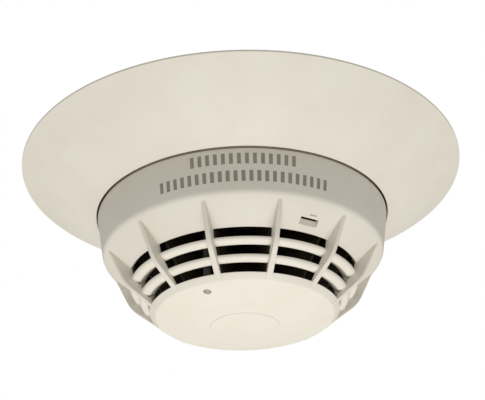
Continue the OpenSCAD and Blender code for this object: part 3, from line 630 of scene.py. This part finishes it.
tidy(cover_shell)
nub = box_piece("window_nub", (-2.4, -0.6, -0.35), (-1.9, 1.8, 0.3), WINDOW)
soften(nub, 0.12)
nub.data.materials.append(CREAM)
print("cover shell after cutting:", len(cover_shell.data.polygons), "faces")

# %% [markdown]
# ## Louvres and the cap
# Two louvre rings hang between the ribs, each with a rounded nose that throws off dust and
# hides the slot behind it. Below the lowest slot a narrow strip carries the cap, a shallow
# dome with a raised disc in its middle, where the mould was gated. The lamp shines through a
# small hole in the cap.

# %% Louvre rings
TAIL_SLOPE = 0.67


def louvre_nose(k):
    """Section of the k-th louvre up from the strip."""
    a = Vector(STRIP_HEAD) + k * Vector((LOUVRE_STEP, -LOUVRE_PITCH))
    nose = [a + Vector((-NOSE_W * (1 - math.cos(t)), NOSE_H * math.sin(t)))
            for t in [math.radians(9 * i) for i in range(11)]]
    tail = NOSE_H - (LOUVRE_W - NOSE_W) * TAIL_SLOPE
    return [(*p, 0) for p in nose] + [
        (a.x - LOUVRE_W, a.y + tail, EASED), (a.x - LOUVRE_W + 0.4, a.y + tail - 1.2, EASED),
        (a.x - 0.5, a.y - 0.25, 0.3)]


louvres = [turned_shell(f"cover_louvre_{k}", louvre_nose(k), CREAM, steps=FINE_STEPS) for k in (1, 2)]

# %% Cap
DOME_START = CAP_R - 0.6
DOME_END = DISC_R + 0.12
dome_line = [DOME_START + (DOME_END - DOME_START) * i / 14 for i in range(15)]
disc_line = [DISC_R * (1 - i / 6) for i in range(6)]
inside_line = [(CAP_R - 1.2) * i / 12 for i in range(1, 13)]
cap_corners = [(*STRIP_HEAD, CRISP), (CAP_R, CAP_DROP, CRISP)]
cap_corners += [(r, dome_drop(r), 0) for r in dome_line]
cap_corners += [(r, dome_drop(r) + DISC_H, 0.06 if i == 0 else 0) for i, r in enumerate(disc_line)]
cap_corners += [(0, dome_drop(0) + DISC_H, 0), (0, dome_drop(0) - COVER_WALL, 0)]
cap_corners += [(r, dome_drop(r) - COVER_WALL, 0) for r in inside_line]
cap_corners += [(STRIP_HEAD[0] - 1.6, STRIP_HEAD[1] - 0.5, EASED)]
cap = turned_shell("cover_cap", cap_corners, CREAM, steps=288)


def lamp_frame():
    """Matrix that moves a piece from the axis to the lamp's place."""
    spin = Matrix.Rotation(math.radians(LAMP_AZ - 90), 4, "Z")
    return spin @ Matrix.Translation((LAMP_R * MM, 0, 0))


def upright(name, radius, top, bottom, sides=48):
    """A round bar between two drops at the lamp's place."""
    made = bmesh.new()
    bmesh.ops.create_cone(made, cap_ends=True, segments=sides, radius1=radius * MM,
                          radius2=radius * MM, depth=(bottom - top) * MM)
    bmesh.ops.translate(made, verts=made.verts, vec=(0, 0, -(top + bottom) / 2 * MM))
    made.transform(lamp_frame())
    return from_bmesh(name, made)


cut(cap, upright("lamp_hole", LAMP_HOLE, CAP_DROP - 5, 60))
soften(cap, 0.1, limit=50)
print("cap after drilling:", len(cap.data.polygons), "faces")

# %% [markdown]
# ## Ribs
# Twelve ribs cross the slots and tie the louvres to the cap. Each is a thin fin in the plane
# of the axis: its edge leaves the shoulder, bends gently at a knee and runs to the rim of the
# cap, and it thickens towards the cap. One rib is made as a fin along +X with its outer edge
# rounded, and the repeating tree sets twelve.

# %% The rib's lines
HALF_AT_CAP = 1.05
HALF_AT_BAND = 0.6
KNEE_ROUND = 13
RIB_DEPTH = 0.8


def rib_half(r):
    """Half the rib's thickness in mm at a radius."""
    return HALF_AT_CAP + (HALF_AT_BAND - HALF_AT_CAP) * (r - CAP_R) / (HEAD_R - CAP_R)


knee = Vector((CAP_R + 10.5, CAP_DROP - 8.1))
on_shoulder = Vector(cone_point(9.7))
rib_top = knee + (on_shoulder - knee) * 1.09
rim = Vector((CAP_R + 0.3, CAP_DROP))
edge_line = rounded([(*rib_top, 0), (*knee, KNEE_ROUND), (*rim, 0)], steps=12)
deep_line = [rim + Vector((-2, -0.4)), Vector(STRIP_HEAD) + Vector((-1.0, 0.2)),
             Vector(STRIP_HEAD) + Vector((2 * LOUVRE_STEP - RIB_DEPTH, 0.3 - 2 * LOUVRE_PITCH)),
             Vector(cone_point(0.3, -0.9)),
             rib_top - Vector((math.sin(CONE_SLOPE), math.cos(CONE_SLOPE))) * 0.6]
print("rib's outer edge has", len(edge_line), "points")


# %% One rib
def make_rib(round_mm=0.22, steps=4):
    """Rows of points across the outer edge, rounded, joined to two flat flanks."""
    made = bmesh.new()
    rows = []
    n = len(edge_line)
    for i, p in enumerate(edge_line):
        along = (edge_line[min(i + 1, n - 1)] - edge_line[max(i - 1, 0)]).normalized()
        out = Vector((-along.y, along.x))
        if out.dot(Vector((1, 1))) < 0:
            out = -out
        half = rib_half(p.x)
        across = []
        for side in (-1, 1):
            arc = [math.radians(90 * k / steps) for k in range(steps + 1)]
            for t in (arc if side < 0 else reversed(arc)):
                y = side * (half - round_mm + round_mm * math.cos(t))
                q = p - out * round_mm * (1 - math.sin(t))
                across.append(made.verts.new((q.x * MM, y * MM, -q.y * MM)))
        rows.append(across)
    for one, other in zip(rows, rows[1:]):
        for a, b, c, d in zip(one, one[1:], other[1:], other):
            made.faces.new((a, b, c, d))
    walls = []
    for side, pick in ((-1, 0), (1, -1)):
        deep = [made.verts.new((q.x * MM, side * rib_half(max(q.x, CAP_R)) * MM, -q.y * MM))
                for q in deep_line]
        loop = [row[pick] for row in rows] + deep
        made.faces.new(loop)
        walls.append(deep)
    left, right_side = walls
    for k in range(len(left) - 1):
        made.faces.new((left[k], left[k + 1], right_side[k + 1], right_side[k]))
    made.faces.new([left[-1], *rows[0], right_side[-1]])
    made.faces.new([*rows[-1], right_side[0], left[0]])
    bmesh.ops.triangulate(made, faces=[f for f in made.faces if len(f.verts) > 4])
    bmesh.ops.recalc_face_normals(made, faces=made.faces)
    return from_bmesh("rib", made)


ribs = around("cover_ribs", make_rib(), 12, 15, 30, CREAM)
tidy(ribs)

# %% [markdown]
# ## Printing and the line-up mark
# The band carries two rows of pad-printed ink. Here they are plain even bars, not lettering.
# Each bar is a thin patch that follows the band, standing a fiftieth of a millimetre proud,
# and the repeating tree sets the row. The raised line and dot beside them show the fitter
# where the head lines up with the base.

# %% Printed bars
def print_bar(name, top, bottom, wide, proud=0.02, cells=4):
    """A thin curved patch on the band at azimuth 90, which is +X before it is turned."""
    verts = []
    faces = []
    for layer in (proud, -0.15):
        for drop in (top, bottom):
            r = band_r(drop) + layer
            for k in range(cells + 1):
                a = (k / cells - 0.5) * wide / r
                verts.append((r * math.cos(a) * MM, r * math.sin(a) * MM, -drop * MM))
    n = cells + 1
    for k in range(cells):
        faces.append((k, k + 1, n + k + 1, n + k))
        faces.append((2 * n + k, 3 * n + k, 3 * n + k + 1, 2 * n + k + 1))
        faces.append((k, 2 * n + k, 2 * n + k + 1, k + 1))
        faces.append((n + k, n + k + 1, 3 * n + k + 1, 3 * n + k))
    faces.append((0, n, 3 * n, 2 * n))
    faces.append((cells, 2 * n + cells, 3 * n + cells, n + cells))
    return bare(name, verts, faces=faces)


BAR_STEP = 2.9              # degrees from one bar to the next
BAR_WIDE = 1.2
# Drops of a row's top and bottom, and the azimuths between which it runs
PRINTED_ROWS = {"upper": (19.6, 23.1, -18, 21), "lower": (25.3, 28.8, -31, 34)}
rows = []
for label, (top, bottom, first, last) in PRINTED_ROWS.items():
    count = int((last - first) / BAR_STEP) + 1
    bar = print_bar("bar", top, bottom, BAR_WIDE)
    rows.append(tidy(around(f"printed_bars_{label}", bar, count, first, BAR_STEP, INK)))

# %% Line-up mark
BAND = (Matrix.Rotation(math.radians(WINDOW_AZ - 0.5 - 90), 4, "Z")
        @ Matrix.Translation((HEAD_R * MM, 0, -BAND_TOP * MM)) @ Matrix.Rotation(BAND_LEAN, 4, "Y"))
mark = box_piece("line_up_mark", (-0.5, -0.12, 0.4), (0.12, 0.12, 3.0), BAND)
soften(mark, 0.05)
mark.data.materials.append(CREAM)
dot = bmesh.new()
bmesh.ops.create_cone(dot, cap_ends=True, segments=24, radius1=0.4 * MM, radius2=0.3 * MM, depth=0.65 * MM)
dot.transform(BAND @ Matrix.Translation((-0.175 * MM, 0, -3.2 * MM)) @ Matrix.Rotation(math.pi / 2, 4, "Y"))
line_up_dot = tidy(from_bmesh("line_up_dot", dot))
line_up_dot.data.materials.append(CREAM)
print("line-up mark and dot made")

# %% [markdown]
# ## The lamp's lens
# A clear rod leads the lamp's light to the hole in the cap. Its visible end is a small frosted
# dome, which looks grey. Rod and dome are turned like the shells, then moved to their place in
# their meshes. The bright bead beside the dome's middle is no part of a real lens: it stands
# in for the highlight that such a dome catches.

# %% Light pipe and lens
ROD_R = 1.2
COLLAR_R = 2.1
ROD_TOP = 20.9
COLLAR_TOP = 22.6
COLLAR_END = 23.6
LENS_H = 0.55
lens_drop = dome_drop(LAMP_R) - 0.9
rod_end = lens_drop - 1.2
rod = [(0, ROD_TOP, 0), (ROD_R, ROD_TOP, 0), (ROD_R, COLLAR_TOP, 0), (COLLAR_R, COLLAR_TOP, 0.1),
       (COLLAR_R, COLLAR_END, 0.1), (ROD_R, COLLAR_END, 0), (ROD_R, rod_end, 0), (0, rod_end, 0)]
lens_arc = [math.radians(15 * i) for i in range(6)]
dome = [(0, rod_end, 0), (ROD_R, rod_end, 0)]
dome += [(ROD_R * math.cos(t), lens_drop + LENS_H * math.sin(t), 0) for t in lens_arc]
dome += [(0, lens_drop + LENS_H, 0)]
light_pipe = turned_shell("lamp_light_pipe", rod, CLEAR, steps=48, closed=False)
lens = turned_shell("lamp_lens", dome, LENS, steps=48, closed=False)
for turned_part in (light_pipe, lens):
    turned_part.data.transform(lamp_frame())

# %% Painted highlight bead
# The bead is a painted highlight: a near-white ball beside the lens, where a polished dome would catch the
# lamp.
BEAD_R = 0.3
BEAD_AT = (0.1 * MM, 0.75 * MM, -(lens_drop + 0.22) * MM)
bead = bmesh.new()
bmesh.ops.create_uvsphere(bead, u_segments=24, v_segments=12, radius=BEAD_R * MM)
bmesh.ops.translate(bead, verts=bead.verts, vec=BEAD_AT)
bead.transform(Matrix.Translation(lamp_frame().translation))
highlight_bead = from_bmesh("lamp_painted_highlight", bead)
highlight_bead.data.materials.append(GLINT)
tidy(highlight_bead)
print("lens ends at a drop of", round(lens_drop + LENS_H, 2), "mm")

# %% [markdown]
# ## Who rides on what, and what is hidden
# Each new piece rides on the CAD body that it belongs to, and the CAD solid that it stands
# for is hidden. The other CAD solids stay and get their materials here.

# %% Rides and replacements
for piece in (ring_shell, hub, gussets):
    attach(piece, "base")
    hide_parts("trim_ring")
for piece in (cover_shell, *louvres, cap, ribs, nub, mark, line_up_dot, *rows):
    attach(piece, "head")
    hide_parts("head_cover")
for piece in (light_pipe, lens, highlight_bead):
    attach(piece, "head")
    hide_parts("light_pipe")

# %% Materials for the CAD's own solids
DRESS = {
    "mounting_base": CREAM_HIDDEN, "rear_housing": CREAM_HIDDEN, "chamber_liner": BLACK_LINER,
    "wire_clamps": ZINC, "terminal_screws": ZINC, "blade_rivets": ZINC, "board_screws": ZINC,
    "lever_pin": SPRING, "lever_spring": SPRING, "lock_lever": ACETAL, "tens_switch": ACETAL,
    "ones_switch": ACETAL, "thermistor_holder": BLACK_HOLDER, "tens_dial": DIAL, "ones_dial": DIAL,
    "circuit_board": MASK, "microcontroller": EPOXY, "surge_diode": EPOXY, "surface_parts": EPOXY,
    "thermistor": EPOXY, "capacitor": CAN, "reed_switch": GLASS, "status_led": CLEAR,
    "thermistor_leads": TINNED, **{f"contact_clip_{n}": TINNED for n in range(1, 5)},
    **{f"contact_blade_{n}": TINNED for n in range(1, 5)}}
for name, material in DRESS.items():
    nodes[name].data.materials.clear()
    nodes[name].data.materials.append(material)
print("dressed", len(DRESS), "CAD solids; not dressed:", sorted(set(nodes) - set(DRESS)))

# %% [markdown]
# ## Floor and light
# The detector hangs high above a pale floor. Most of its light comes from a wide soft lamp
# almost straight below it, so the downward faces are bright and the upright band falls into
# shade. A white surround fills the rest.

# %% Floor
floor_paint = surface("matt_floor_paint_pale", "#E6E4DF", "#DEDCD6", 0.75, 12, 0.2, drift_mm=300)
FLOOR_Z = -1.3
FLOOR_HALF = 6
floor_corners = [(x * FLOOR_HALF, y * FLOOR_HALF, FLOOR_Z) for x, y in ((-1, -1), (1, -1), (1, 1), (-1, 1))]
floor = bare("floor", floor_corners, faces=[(0, 1, 2, 3)])
floor.data.materials.append(floor_paint)

# %% Lamps and surround
def soft_lamp(name, place, watts, width, colour):
    """A round lamp that faces the detector and isn't seen itself."""
    data = bpy.data.lights.new(name, "AREA")
    data.shape = "DISK"
    data.size = width
    data.energy = watts
    data.color = linear(colour)[:3]
    lamp = bpy.data.objects.new(name, data)
    bpy.context.scene.collection.objects.link(lamp)
    lamp.location = place
    aim = Vector((0, 0, -0.03)) - Vector(place)
    lamp.rotation_mode = "QUATERNION"
    lamp.rotation_quaternion = aim.to_track_quat("-Z", "Y")
    lamp.visible_camera = False
    return lamp


soft_lamp("key", (0.01, -0.02, -1.0), 7.3, 0.8, "#FFFFFF")
world = bpy.data.worlds.new("surround")
world.use_nodes = True
bpy.context.scene.world = world
sky = world.node_tree
sky.nodes.clear()
seen = add(sky, "ShaderNodeLightPath").outputs["Is Camera Ray"]
strength = add(sky, "ShaderNodeMapRange", {"Value": seen, "To Min": 0.475, "To Max": 1.0}).outputs["Result"]
glow = add(sky, "ShaderNodeBackground", {"Color": (1, 1, 1, 1), "Strength": strength})
add(sky, "ShaderNodeOutputWorld", {"Surface": glow.outputs["Background"]})
bpy.context.scene.view_settings.view_transform = "Standard"
